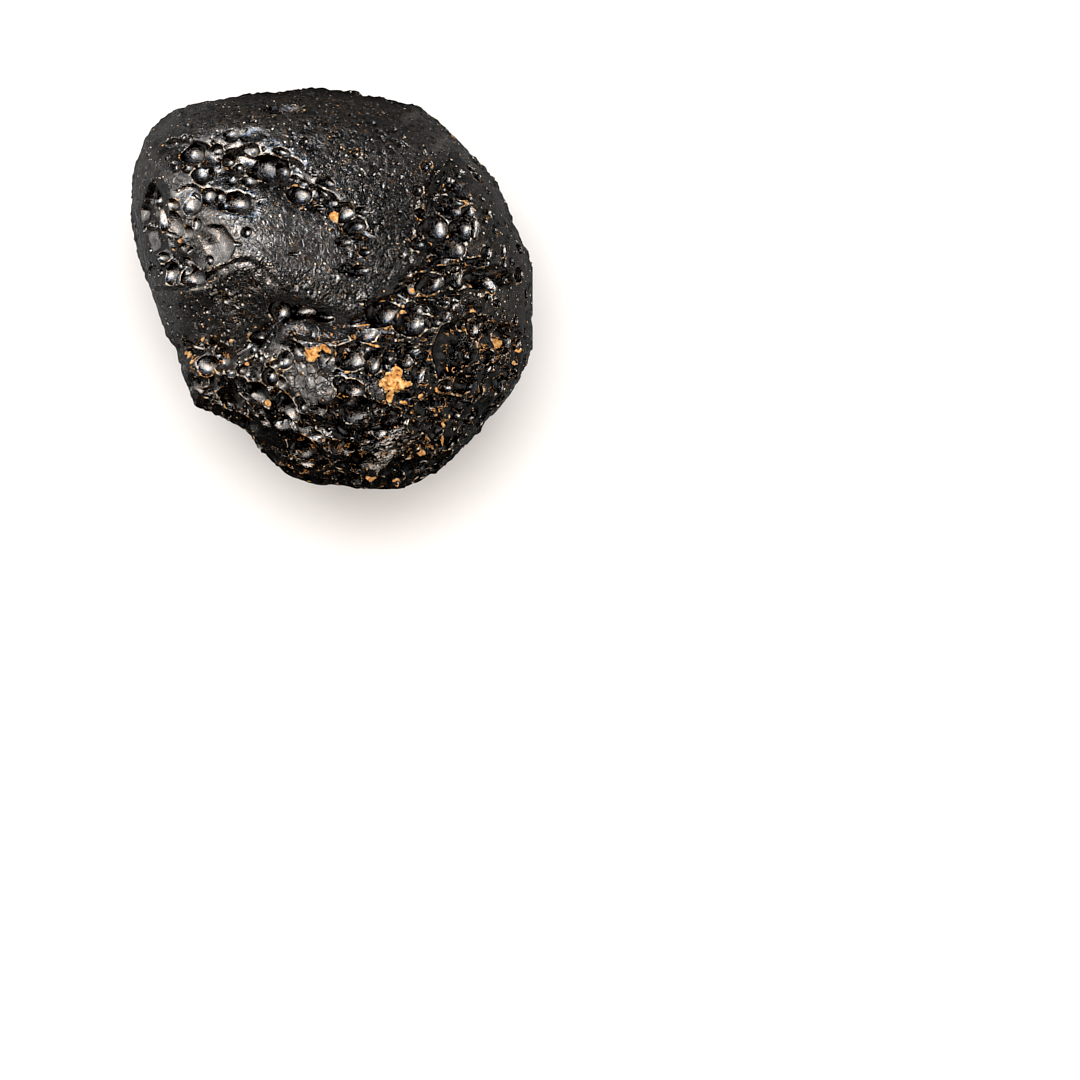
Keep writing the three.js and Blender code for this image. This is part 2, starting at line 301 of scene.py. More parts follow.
# ---- bubble pits read from the photograph: x, y, half-widths, turn, depth share, mouth angle --------
# The depth is that share of the smaller half-width; a mouth angle of 90 is a half ball, less is a bowl.
PITS = [
    # broad shallow ones first
    (281, 103, 14, 11, 0, 0.25, 45), (315, 142, 9, 8, 0, 0.2, 35), 
    (459, 183, 13, 12, 0, 0.35, 50), (208, 246, 16, 15, 0, 0.14, 32), (456, 350, 20, 24, 0, 0.35, 50),
    (250, 135, 12, 8, 5, 0.35, 55), (224, 302, 9, 8, 0, 0.12, 40), (386, 340, 10, 7, 0, 0.3, 45),
    # upper left rows
    (189, 152, 11.5, 10, -15, 0.85, 85), (187, 168, 4.5, 4.5, 0, 0.6, 70), (204, 172, 10, 10, 0, 0.45, 60),
    (216, 168, 8, 8, 0, 0.7, 75), (232, 134, 8, 7, 0, 0.5, 65), (249, 152, 9, 8.5, 0, 0.6, 70),
    (216, 150, 6, 6, 0, 1.0, 88), (227, 160, 6, 6, 0, 1.0, 88), (238, 166, 5, 4.5, 0, 1.0, 88),
    (267, 169, 19, 13, -5, 0.6, 75), (281, 168, 9, 10, 0, 0.95, 85), (283, 152, 8, 4, -15, 0.9, 80),
    (253, 169, 4, 4, 0, 0.8, 80), (250, 181, 7, 7, 0, 0.7, 78), (232, 180, 5, 5, 0, 0.5, 65), (293, 163, 3.5, 3.5, 0, 1.0, 88),
    (236, 203, 13, 10, -15, 0.8, 84), (242, 208, 5, 5, 0, 0.7, 75), (225, 205, 5, 6, 0, 1.1, 92),
    (207, 197, 7.5, 7, 0, 0.5, 65), (220, 197, 5.5, 5.5, 0, 0.7, 75), (190, 204, 10, 9, 0, 0.45, 60),
    (194, 196, 5, 1.8, -45, 1.2, 85), (173, 204, 8, 6, -15, 0.6, 70), (149, 199, 8, 7, 0, 1.1, 90),
    (157, 216, 13, 12, -40, 0.7, 80), (174, 225, 14, 11, -40, 0.6, 75), (187, 233, 7, 7, 0, 0.6, 72),
    (165, 236, 14, 4, -15, 1.1, 85), (196, 224, 4.5, 6, 0, 0.5, 65), (188, 218, 5, 1.5, -10, 1.2, 85),
    (167, 245, 11, 4.5, -12, 0.8, 80), (158, 258, 8, 5.5, -10, 1.1, 90), (190, 250, 5, 2.5, 35, 1.2, 88), (183, 247, 4, 4, 0, 0.5, 65),
    (209, 245, 5.5, 6.5, 0, 0.5, 65), (234, 244, 7, 2, -5, 1.0, 80), (247, 232, 4.5, 4.5, 0, 0.5, 65), (210, 261, 4, 4, 0, 0.9, 85),
    (166, 276, 10, 10, 0, 0.6, 75), (189, 277, 13, 10, 0, 0.6, 75), (188, 263, 8, 3.5, 0, 0.8, 80),
    # middle
    (299, 194, 11.5, 10, 0, 0.85, 85), (288, 191, 3.5, 3.5, 0, 0.8, 80), (300, 203, 9, 2.5, 5, 1.0, 85),
    (303, 183, 6, 3.5, 0, 0.5, 65), (326, 183, 9, 5.5, -15, 0.6, 72), (323, 192, 6, 2.5, -35, 1.1, 88),
    (331, 202, 7, 5, 0, 0.6, 70), (321, 209, 6, 2.5, 0, 1.1, 88), (342, 212, 12, 9, 10, 0.65, 75), (331, 213, 3, 3.5, 0, 1.2, 90),
    (354, 227, 10, 7, 20, 0.6, 72), (346, 242, 7, 5, 0, 0.5, 65), (362, 210, 6, 4, 0, 1.0, 85), (366, 251, 6, 3.5, 10, 1.0, 85),
    (355, 153, 4.5, 4.5, 0, 1.0, 88), (304, 142, 4.5, 4.5, 0, 0.9, 85), (350, 113, 3, 3.5, 0, 0.8, 80),
    (347, 268, 7, 4, 15, 0.8, 78), (360, 270, 10, 5, 10, 0.9, 80), (295, 254, 5, 1.5, 0, 1.0, 80),
    # right side
    (427, 165, 5, 5.5, 0, 1.1, 90), (432, 161, 3, 3, 0, 1.0, 88), (419, 189, 5, 5, 0, 1.0, 85),
    (452, 175, 4, 5, 0, 0.8, 80), (461, 173, 4, 2.5, 0, 1.0, 85), (447, 186, 4, 4, 0, 0.8, 80), (438, 196, 3, 3, 0, 0.8, 80),
    (453, 199, 12, 5.5, -10, 1.0, 85), (481, 175, 7, 6, 0, 0.6, 72), (473, 166, 5, 3, -20, 1.0, 85), (425, 212, 8, 4.5, -10, 1.3, 92),
    (450, 208, 14, 8, -18, 0.65, 75), (466, 213, 8, 7, 0, 0.6, 72), (470, 208, 3, 3, 0, 0.8, 80),
    (437, 227, 12, 13, 0, 0.6, 75), (460, 229, 11, 11, 0, 0.75, 80), (473, 228, 5.5, 9, 0, 0.7, 78), (474, 237, 3, 3, 0, 1.1, 88),
    (424, 230, 4, 7, -20, 0.6, 72), (421, 243, 7, 6, 0, 0.9, 82), (447, 248, 17, 11, -10, 0.55, 70), (440, 247, 7, 7, 0, 0.4, 60),
    (456, 252, 6, 6, 0, 0.4, 60), (440, 262, 15, 6, 0, 0.6, 72), (457, 267, 7, 5, 0, 1.0, 90), (478, 262, 12, 5, 0, 1.0, 90),
    (468, 264, 4, 4, 0, 0.5, 65), (486, 252, 5, 6, 0, 0.7, 76),
    (411, 288, 8, 9, 0, 0.6, 75), (431, 285, 14, 9.5, 30, 0.7, 80), (456, 281, 9, 9.5, 0, 0.7, 80), (480, 279, 14, 8.5, -15, 0.65, 80),
    (522, 248, 5, 5, 0, 1.0, 86), (520, 275, 8, 6, 45, 1.1, 90), (495, 230, 3, 4, 0, 1.0, 86), (527, 294, 3.5, 5, 0, 0.9, 82),
    (498, 303, 5, 4, 0, 0.7, 76), (505, 250, 2.5, 6, 0, 0.9, 82), (504, 265, 3, 5, 0, 0.7, 76),
    # below the middle, right
    (384, 315, 15, 13, 15, 0.65, 78), (409, 320, 16, 15, -25, 0.6, 75), (427, 322, 7, 7, 0, 0.7, 78), (436, 320, 6, 5, 0, 0.7, 78),
    (445, 316, 5, 6, 0, 0.6, 72), (454, 308, 4, 5, 0, 0.7, 76), (447, 303, 5, 4, 0, 1.0, 88), (417, 307, 8, 4, -30, 0.6, 72),
    (465, 325, 6, 5, 0, 1.1, 90), (475, 330, 6, 8, 0, 0.7, 78), (449, 341, 8, 5, 0, 0.6, 72), (452, 352, 5, 5, 0, 0.5, 65),
    (467, 357, 3, 3, 0, 0.8, 80), (462, 364, 10, 5, -20, 0.7, 76), (443, 369, 7, 8, 0, 0.8, 84), (452, 368, 3, 6, 0, 0.7, 76),
    (432, 368, 7, 5, 0, 0.6, 72), (429, 350, 11, 8, 0, 0.5, 62), (430, 336, 11, 6, 15, 0.5, 62), (412, 350, 8, 4, 0, 0.6, 72),
    (406, 359, 9, 8, 0, 0.5, 65), (391, 359, 6, 6, 0, 0.9, 84), (384, 361, 4, 3.5, 0, 1.2, 90), (372, 362, 9, 12, 0, 0.6, 75),
    (373, 371, 3.5, 3.5, 0, 0.5, 65), (351, 358, 14, 12, 0, 0.6, 75), (346, 351, 5, 4, 0, 1.0, 86), (365, 332, 12, 9, 0, 0.45, 60),
    (484, 344, 8, 7, 0, 0.6, 80), (490, 329, 7, 6, 0, 0.6, 74), (505, 340, 12, 13, 0, 0.8, 85), (487, 358, 8, 7, 0, 0.6, 74),
    (487, 369, 7, 4, 45, 0.8, 80), (475, 371, 7, 7, 0, 0.8, 80), (502, 385, 9, 9, 0, 0.8, 80), (477, 398, 10, 4, 65, 1.0, 84),
    (465, 402, 7, 5, 0, 0.7, 76), (520, 345, 5, 6, 0, 1.0, 86), (516, 322, 4, 5, 0, 1.0, 86), (515, 362, 4, 4, 0, 0.7, 76),
    (512, 376, 6, 6, 0, 0.8, 80), (483, 384, 5, 5, 0, 0.7, 76), (445, 385, 8, 6, -20, 1.0, 90), (425, 406, 11, 12, 0, 0.5, 70),
    (432, 407, 5, 6, 0, 0.5, 66), (413, 402, 5, 6, 0, 0.6, 70), (406, 408, 4, 5, 0, 0.8, 80), (400, 398, 12, 8, -10, 0.4, 58),
    (451, 401, 7, 5.5, 0, 0.4, 58), (440, 406, 5, 7, 0, 0.8, 80), (455, 414, 7, 6, 0, 1.1, 90), (462, 428, 5, 5, 0, 0.8, 80),
    (450, 445, 8, 9, 0, 0.7, 76), (470, 418, 5, 5, 0, 0.8, 80),
    # lower lobe
    (355, 410, 15, 14, 0, 0.45, 60), (353, 413, 2.5, 2.5, 0, 1.0, 86), (350, 388, 12, 10, 0, 0.9, 88), (340, 380, 6, 6, 0, 0.9, 85),
    (377, 392, 7, 9, 0, 0.3, 50), (301, 402, 6.5, 8, 0, 1.0, 90), (285, 409, 13, 15, 0, 0.65, 78), (318, 405, 8, 5, 10, 0.4, 60),
    (280, 383, 7, 6, 0, 0.6, 72), (268, 378, 8, 9, 0, 1.1, 90), (275, 365, 5, 5, 0, 0.9, 85), (266, 402, 5, 5, 0, 0.6, 72),
    (258, 413, 6, 7, 0, 0.9, 84), (262, 422, 8, 5, 0, 0.6, 72), (203, 364, 15, 11, -12, 0.65, 78), (193, 350, 13, 4, -20, 1.2, 86),
    (200, 344, 5.5, 5.5, 0, 0.9, 85), (198, 378, 8, 3, -10, 0.7, 76), (198, 386, 9, 6, 0, 0.3, 50), (211, 385, 4, 9, 0, 1.2, 86),
    (207, 396, 8, 5, 20, 1.1, 86), (218, 404, 6, 5, 0, 0.7, 78), (206, 405, 6, 4, 0, 0.7, 78), (231, 371, 6, 7, 0, 0.9, 88),
    (245, 397, 4.5, 4.5, 0, 0.6, 72), (252, 352, 4, 4, 0, 0.9, 85), (255, 340, 8, 7, 0, 1.2, 90), (280, 312, 10, 11, 0, 1.1, 88),
    (303, 313, 14, 7, 5, 1.2, 88), (325, 318, 10, 5, 0, 1.0, 85), (224, 302, 3.5, 3, 0, 0.7, 76), (205, 312, 3, 3, 0, 0.8, 80),
    (305, 463, 8, 6, 0, 0.8, 80), (315, 435, 9, 5, 0, 0.8, 80), (335, 460, 5, 5, 0, 0.8, 80), (371, 475, 7, 4, 0, 0.7, 76),
]


BLUNT = 2.35  # above 2 the floor of a pit is flatter and its wall steeper than a ball's


def pole_table():
    """From the top pole of the blunt ball: how far its wall is, by the downward share of the direction."""
    t = np.linspace(-math.pi / 2, math.pi / 2, 400)
    r, z = np.abs(np.cos(t)) ** (2 / BLUNT), np.sign(t) * np.abs(np.sin(t)) ** (2 / BLUNT)
    far = np.hypot(r, z - 1)
    keep = far > 1e-6
    down = (1 - z[keep]) / far[keep]
    order = np.argsort(down)
    return down[order], far[keep][order]


POLE_DOWN, POLE_FAR = pole_table()


def pit_push(p, near, centre, axis, a, b, turn, depth, mouth, warp, soft=0.09):
    """Pushes the points inside a bubble out to its wall, along sight lines from the bubble's top pole."""
    reach = max(a, b) * 1.15 + depth + 0.3
    k = near(centre, reach)
    if not len(k):
        return k, np.zeros(0)
    m = math.radians(mouth)
    side = np.array([math.cos(turn), math.sin(turn), 0.0])
    e1 = unit(side - axis * (side @ axis))
    e2 = np.cross(axis, e1)
    half = depth / (1 - math.cos(m))
    q = p[k] + warp[k] * min(1.0, 1.6 * min(a, b)) - centre
    wide = (1 - abs(math.cos(m)) ** BLUNT) ** (1 / BLUNT)
    size = np.array([a / wide, b / wide, half])
    q = np.stack([q @ e1, q @ e2, q @ axis], 1)
    q[:, 2] -= half * math.cos(m)
    q /= size
    u = q - np.array([0, 0, 1.0])
    far = np.linalg.norm(u, axis=1)
    u /= np.maximum(far, 1e-9)[:, None]
    gap = np.interp(-u[:, 2], POLE_DOWN, POLE_FAR, left=0.0) - far
    e = soft / min(a, b)
    move = np.maximum(gap, 0) + np.maximum(e - np.abs(gap), 0) ** 2 / (4 * e)
    move[(q[:, 2] > 0.98) | (u[:, 2] > -0.02)] = 0
    hit = move > 0
    k, d = k[hit], u[hit] * move[hit][:, None] * size
    p[k] += d[:, :1] * e1 + d[:, 1:2] * e2 + d[:, 2:] * axis
    return k, np.clip(move[hit] / 0.15, 0, 1)


# ---- what else the crown shows, in photograph pixels ---------------------------------------------
# lumps and dents: x, y, half-widths, turn, height in mm
LUMPS = [
    (328, 398, 21, 19, 0, 0.98), (372, 295, 14, 9, 10, 0.40), (395, 338, 8, 7, 0, 0.30), (377, 391, 9, 9, 0, 0.30),
    (221, 391, 13, 4, -55, 0.45), (178, 110, 4, 4, 0, 0.40), (311, 89, 5, 4, 0, 0.30), (396, 463, 26, 6, 27, 0.50),
    (368, 432, 16, 7, 25, -0.35), (232, 388, 6, 12, -20, -0.30), (280, 322, 28, 14, 0, 0.45), (283, 351, 34, 11, -5, -0.50), (345, 327, 26, 5, 8, -0.35),
    (430, 300, 34, 4, 8, 0.25), (470, 315, 20, 6, 5, 0.35), (480, 300, 16, 4, 10, -0.35), (418, 340, 22, 8, 10, 0.25),
    (285, 240, 30, 12, -25, 0.18), (258, 330, 12, 10, 0, -0.30), (268, 345, 12, 9, 30, -0.30), (490, 210, 14, 24, -20, 0.30),
    (350, 280, 26, 8, -10, 0.22),
    (455, 385, 14, 10, 20, 0.3), (430, 430, 14, 10, 40, 0.3), (300, 425, 18, 8, 0, -0.3), (330, 445, 16, 9, 10, 0.35),
    (412, 212, 44, 66, 0, -0.70), (245, 430, 14, 9, -40, 0.3), (262, 452, 14, 5, -35, -0.3), (420, 470, 18, 6, 25, -0.25), (345, 475, 20, 6, 0, -0.25),
]
# grooves: points, half-width and depth in mm
GROOVES = [
    ([(150, 291), (176, 291), (200, 285), (214, 277)], 0.20, 0.40),
    ([(203, 281), (214, 272), (232, 263), (250, 262), (262, 268), (268, 280)], 0.28, 0.22),
    ([(404, 279), (414, 270), (436, 268), (457, 271)], 0.28, 0.60),
    ([(418, 300), (440, 299), (465, 294), (492, 289)], 0.45, 0.85),
    ([(380, 303), (396, 301)], 0.35, 0.40),
    ([(300, 341), (320, 344), (345, 340)], 0.25, 0.45),
    ([(211, 376), (211, 392)], 0.30, 0.60),
    ([(255, 343), (270, 327), (285, 315), (303, 314), (325, 318)], 0.45, 0.55),
    ([(176, 346), (196, 352), (214, 358), (236, 356), (252, 346)], 0.35, 0.45),
    ([(330, 325), (352, 329), (372, 327), (392, 318)], 0.25, 0.30),
    ([(336, 372), (352, 376), (366, 373)], 0.25, 0.30),
    ([(332, 398), (341, 412), (339, 424)], 0.22, 0.30),
    ([(278, 424), (300, 430), (330, 428), (352, 432)], 0.35, 0.45),
    ([(232, 402), (246, 414), (252, 430)], 0.30, 0.40),
    ([(404, 415), (420, 420), (436, 414)], 0.22, 0.30),
    ([(365, 447), (384, 437), (402, 424)], 0.15, 0.20),
    ([(498, 160), (508, 185), (519, 215), (525, 240)], 0.25, 0.18),
]
# troughs in which the bubble pits crowd: points, half-width in pixels, depth in mm; the wall on the right
# of the way (as seen going along it, y down) is steep, the other side comes up slowly
TROUGHS = [
    ([(170, 140), (186, 146), (210, 152), (236, 156), (262, 160), (284, 156), (300, 168)], 12, 0.75),
    ([(288, 176), (306, 184), (326, 192), (345, 205), (362, 224)], 11, 0.45),
    ([(176, 268), (160, 252), (150, 236), (144, 212), (146, 196)], 12, 0.70),
    ([(190, 190), (222, 196), (246, 198)], 10, 0.40),
    ([(154, 270), (200, 272)], 9, 0.40),
    ([(446, 266), (426, 248), (424, 224), (436, 200), (446, 168)], 13, 0.55),
    ([(400, 290), (418, 278), (440, 272), (470, 268), (498, 270)], 10, 0.60),
    ([(370, 310), (392, 300), (420, 306), (455, 302)], 12, 0.50),
    ([(458, 330), (470, 318), (492, 326), (515, 332)], 12, 0.50),
    ([(338, 352), (352, 344), (380, 350), (408, 346), (436, 356), (468, 352)], 12, 0.50),
    ([(286, 422), (274, 408), (268, 380)], 11, 0.50),
    ([(182, 348), (200, 350), (216, 356)], 10, 0.40),
    ([(470, 374), (484, 370), (504, 374)], 11, 0.45),
    ([(416, 404), (436, 396), (460, 402)], 11, 0.40),
    ([(350, 398), (366, 402), (384, 408)], 9, 0.30),
]
# ochre clay: x, y, half-widths, turn
CLAY = [
    (394, 384, 12, 12, 0), (397, 371, 4.5, 6, 0), (382, 381, 5, 3, 0), (406, 383, 5, 3.5, 0), (393, 396, 4, 6, 0),
    (308, 354, 9.5, 7.5, 0), (316, 349, 4, 4, 0), (324, 349, 4, 6, 0), (336, 214, 3.4, 4.6, 0), (303, 207, 2.6, 1.6, 0),
    (405, 308, 1.8, 3.0, 20), (406, 316, 2.4, 1.8, 0), (392, 316, 2.0, 2.0, 0), (385, 306, 2.4, 1.5, 0), (413, 287, 1.6, 1.6, 0),
    (365, 326, 8, 1.2, 5), (374, 346, 8, 1.4, -15), (186, 354, 4, 2, -30), (192, 362, 2.5, 2.0, 0), (205, 372, 6, 1.6, -15),
    (266, 402, 3, 3, 0), (294, 411, 2.6, 2.6, 0), (244, 368, 2.2, 2.2, 0), (204, 340, 2.2, 2.2, 0), (442, 423, 2.2, 2.2, 0),
    (446, 419, 2.0, 2.0, 0), (450, 416, 2.2, 2.2, 0), (440, 439, 1.6, 7, 0), (422, 456, 2.4, 2.4, 0), (395, 482, 4, 1.8, 0),
    (371, 475, 5, 2.4, 0), (437, 389, 3, 2.4, 0), (468, 264, 2.8, 2.4, 0), (502, 342, 3, 2.4, 0), (519, 349, 2.2, 2.2, 0),
    (515, 362, 2.2, 2.2, 0), (232, 340, 2, 2, 0), (346, 372, 3, 2, 0), (420, 395, 3, 2, 20), (404, 402, 3, 2, 0),
]
# soft areas of one skin: x, y, half-widths, turn
SHEEN = [(233, 226, 72, 29, -14), (292, 242, 48, 28, -22), (184, 184, 16, 13, 0), (292, 256, 38, 13, -14)]
MATTE = [(330, 128, 135, 44, -6), (410, 150, 62, 52, -20), (490, 200, 40, 60, 20), (152, 170, 22, 46, 15)]
RUST = [(405, 437, 30, 24, 20), (346, 390, 16, 9, 0), (330, 336, 40, 9, 0), (355, 352, 22, 8, -10), (205, 362, 22, 13, -20),
        (470, 360, 44, 34, 0), (300, 462, 60, 18, 0), (425, 400, 34, 20, 0)]
FIBRE = [(389, 446, 23, 10, 28)]
CALM = [(262, 397, 40, 48, 0)]
CRACKLE = [(311, 381, 23, 20, 0), (377, 391, 8, 8, 0)]
# areas whose glass is made darker: painted shade where the surface faces away from the light
PAINTED_SHADE_AREAS = [(342, 138, 78, 24, 8), (385, 212, 30, 64, 0), (300, 250, 40, 22, 0)]
# the sharp upper edge of the hollow
LEDGE = [(146, 290), (186, 288), (204, 277), (222, 266), (244, 260), (262, 270), (276, 281), (287, 295), (296, 312)]
STRIP = [(425, 107, 24, 5, 27), (453, 130, 26, 6, 49), (472, 156, 16, 6, 56)]
# what the relief adds to the outline, in mm, every 15 degrees from the right, counter-clockwise
TRIM = np.array([
    0.08, 0.25, 0.30, 0.30, 0.34, 0.40, 0.17, 0.31, 0.47, 0.43, 0.47, 0.46,
    0.28, -0.13, 0.09, 0.17, 0.50, 0.37, 0.12, -0.11, 0.09, 0.22, 0.14, 0.21,
])


def project(p):
    s = REACH / (CAM[2] - p[:, 2]) / PX
    return 540 + (p[:, 0] - CAM[0]) * s, 540 - (p[:, 1] - CAM[1]) * s


def ellipses(u, v, shapes, soft):
    """1 inside any of the ellipses, 0 outside, with an edge that is a share of their size."""
    out = np.zeros(len(u))
    for x, y, a, b, turn, *_ in shapes:
        c, s = math.cos(math.radians(turn)), math.sin(math.radians(turn))
        q = np.hypot(((u - x) * c - (v - y) * s) / a, ((u - x) * s + (v - y) * c) / b)
        out = np.maximum(out, 1 - smooth(1 - soft, 1 + soft, q))
    return out


def polyline(u, v, line):
    """Distance to a line in the photograph, negative on its left."""
    best = np.full(len(u), 1e9)
    for (ax, ay), (bx, by) in zip(line, line[1:]):
        ex, ey = bx - ax, by - ay
        t = np.clip(((u - ax) * ex + (v - ay) * ey) / (ex * ex + ey * ey), 0, 1)
        far = np.hypot(u - ax - t * ex, v - ay - t * ey)
        best = np.where(far < np.abs(best), far * np.where(ex * (v - ay) - ey * (u - ax) < 0, -1, 1), best)
    return best


def ridged(x):
    return 1 - 2.4 * np.abs(x)


def grained(p, angle, length, width):
    """Coordinates for noise that runs along a plan direction."""
    c, s = math.cos(math.radians(angle)), math.sin(math.radians(angle))
    return np.stack([(p[:, 0] * c + p[:, 1] * s) / length, (-p[:, 0] * s + p[:, 1] * c) / width, p[:, 2] / width], 1)


COARSE = 40962  # the points of six divisions, which come first whatever the levels


def build_surface(levels):
    d, f = icosphere(levels)
    polar = np.arccos(np.clip(d[:, 2], -1, 1))  # the crown gets more of the points
    polar = polar - 0.3 * np.sin(polar)
    flat = np.maximum(np.hypot(d[:, 0], d[:, 1]), 1e-9)
    d = np.stack([d[:, 0] / flat * np.sin(polar), d[:, 1] / flat * np.sin(polar), np.cos(polar)], 1)
    p, n = stone(d)
    base = p.copy()
    u, v = project(base)
    shown = smooth(0.0, 0.3, n[:, 2])

    # ---- the skins ----
    w1, w2, w3 = (Noise(s)(base / 1.7) for s in (11, 12, 13))
    uw, vw = u + 7 * w1, v + 7 * w2
    side, s, (depth, north) = along(VALLEY, base)
    ledge = polyline(u + 2 * w1, v + 2 * w3, LEDGE)  # in pixels, positive below it
    skin = {
        "sheen": shown * ellipses(uw, vw, SHEEN, 0.35),
        "matte": shown * ellipses(uw, vw, MATTE, 0.35),
        "hollow": shown * (side > 0) * smooth(-1, 2, ledge) * smooth(300, 280, uw),
        "rubble": shown * smooth(336, 362, vw + 12 * smooth(250, 200, uw)),
        "right": shown * smooth(392, 425, uw) * (1 - smooth(335, 365, vw)) * smooth(150, 178, vw),
    }
    skin["sheen"] *= 1 - skin["hollow"]
    skin["matte"] *= (1 - skin["right"]) * (1 - skin["sheen"])
    rest = np.clip(shown - skin["sheen"] - skin["matte"] - skin["hollow"] - skin["rubble"] - skin["right"], 0, 1)
    hidden = 1 - shown
    patch = smooth(-0.15, 0.25, Noise(31).layers(base / 7.0, 2))  # the unseen sides change from smooth to rough
    rough = np.clip(skin["rubble"] + 0.12 * skin["right"] + hidden * (0.25 + 0.75 * patch), 0, 1)

    # ---- swells, wrinkles and rubble ----
    turbulent = base + 0.55 * np.stack([w1, w2, w3], 1)
    h = 0.14 * (1 - 0.4 * skin["sheen"]) * Noise(3).layers(base / 5.0, 2)
    h += (0.03 + 0.03 * rough) * (1 - 0.7 * skin["sheen"]) * Noise(4)(base / 1.9)
    around = np.degrees(np.arctan2(290 - v, u - 333)) % 360
    h -= smooth(0.85, 0.4, np.abs(n[:, 2])) * np.interp(around, np.arange(0, 375, 15), np.append(TRIM, TRIM[0]))
    calm = 1 - 0.6 * ellipses(uw, vw, CALM, 0.4)
    h += rough * calm * (0.34 * ridged(Noise(5).layers(turbulent / 2.6, 2)) + 0.05 * ridged(Noise(6)(turbulent / 1.1)))
    h += (rest + 0.3 * skin["right"]) * 0.014 * ridged(Noise(7)(grained(turbulent, 38, 2.8, 0.85)))
    h += (skin["sheen"] + 0.7 * rest + 0.5 * skin["matte"]) * 0.018 * ridged(Noise(8)(grained(turbulent, 35, 0.85, 0.5)))
    h += (0.35 * skin["hollow"] + skin["matte"]) * 0.04 * ridged(Noise(9)(turbulent / 0.8))
    h -= shown * (0.26 * smooth(-4, 1, ledge) + 0.12 * smooth(0, 30, ledge)) * (1 - smooth(30, 80, ledge)) * smooth(310, 290, u) * smooth(140, 165, u)
    rim = smooth(0.55, 0.2, np.abs(n[:, 2]))  # the outline is beaded
    h += rim * (0.05 + 0.08 * rough) * ridged(Noise(10)(base / 0.95))
    crowd = np.zeros(len(p))
    for line, width, deep in TROUGHS:
        xs, ys = [q[0] for q in line], [q[1] for q in line]
        k = np.flatnonzero((u > min(xs) - 30) & (u < max(xs) + 30) & (v > min(ys) - 30) & (v < max(ys) + 30) & (shown > 0))
        s = polyline(u[k] + 6 * w1[k], v[k] + 6 * w3[k], line) / width
        inside = shown[k] * smooth(-0.55, 0.0, s) * (1 - smooth(0.2, 2.1, s))
        crowd[k] = np.maximum(crowd[k], shown[k] * (1 - smooth(1.4, 1.8, np.abs(s - 0.5))))
        h[k] -= deep * inside
    for x, y, a, b, turn, height in LUMPS:
        c, t = math.cos(math.radians(turn)), math.sin(math.radians(turn))
        k = np.flatnonzero((np.abs(u - x) < 3 * max(a, b)) & (np.abs(v - y) < 3 * max(a, b)) & (shown > 0))
        q = np.hypot(((u[k] - x) * c - (v[k] - y) * t) / a, ((u[k] - x) * t + (v[k] - y) * c) / b)
        h[k] += shown[k] * height * np.exp(-q * q)
    for line, width, deep in GROOVES:
        xs, ys = [q[0] for q in line], [q[1] for q in line]
        k = np.flatnonzero((uw > min(xs) - 20) & (uw < max(xs) + 20) & (vw > min(ys) - 20) & (vw < max(ys) + 20) & (shown > 0))
        far = np.abs(polyline(u[k] + 2.5 * w1[k], v[k] + 2.5 * w2[k], line)) * PX / width
        h[k] -= shown[k] * deep * np.exp(-(far**1.5))
    p += n * h[:, None]

    # ---- bubble pits ----
    warp = 0.20 * np.stack([Noise(s).layers(base / 1.5, 2, 0.6) for s in (14, 15, 16)], 1)
    near = Near(p)
    crown = np.flatnonzero(n[:, 2] > 0.02)
    step = crown[:: max(1, len(crown) // 60000)]
    gloss = np.zeros(len(p))

    def pit(i, a, b, turn, share, mouth, lean=None):
        if lean is None:  # on a slope the pits open upward
            lean = min(0.7, 0.25 + 1.0 * (1 - n[i, 2]))
        axis = unit((1 - lean) * n[i] + lean * np.array([0, 0, 1.0]))
        k, g = pit_push(p, near, p0[i] - 0.03 * n[i], axis, a, b, turn, share * min(a, b), mouth, warp)
        gloss[k] = np.maximum(gloss[k], g)

    def place(px, py):
        z = 20.0
        for _ in range(6):
            x, y = ray(px, py, z)
            i = step[np.argmin((base[step, 0] - x) ** 2 + (base[step, 1] - y) ** 2)]
            z = base[i, 2]
        return i

    p0 = p.copy()
    r = np.random.RandomState(5)
    held = np.array([(x, y, max(a, b)) for x, y, a, b, *_ in PITS])

    def scatter(weight, count, small, large, share, mouth, clear=1.0):
        """Bubble pits at random places of a skin, clear of those read from the photograph."""
        pool = np.flatnonzero(weight[:COARSE] > 0.5)
        got = 0
        for i in r.choice(pool, 4 * count):
            radius = small * (large / small) ** (r.rand() ** 1.6)
            q = np.hypot(held[:, 0] - u[i], held[:, 1] - v[i]) - held[:, 2] - clear * radius / PX
            tall, turn, deep, open_ = 0.6 + 0.4 * r.rand(), math.pi * r.rand(), share * (0.7 + 0.6 * r.rand()), mouth * (0.85 + 0.2 * r.rand())
            if n[i, 2] > 0.1 and q.min() < 0:
                continue
            pit(i, radius, radius * tall, turn, deep, open_, 0.0)
            got += 1
            if got == count:
                break

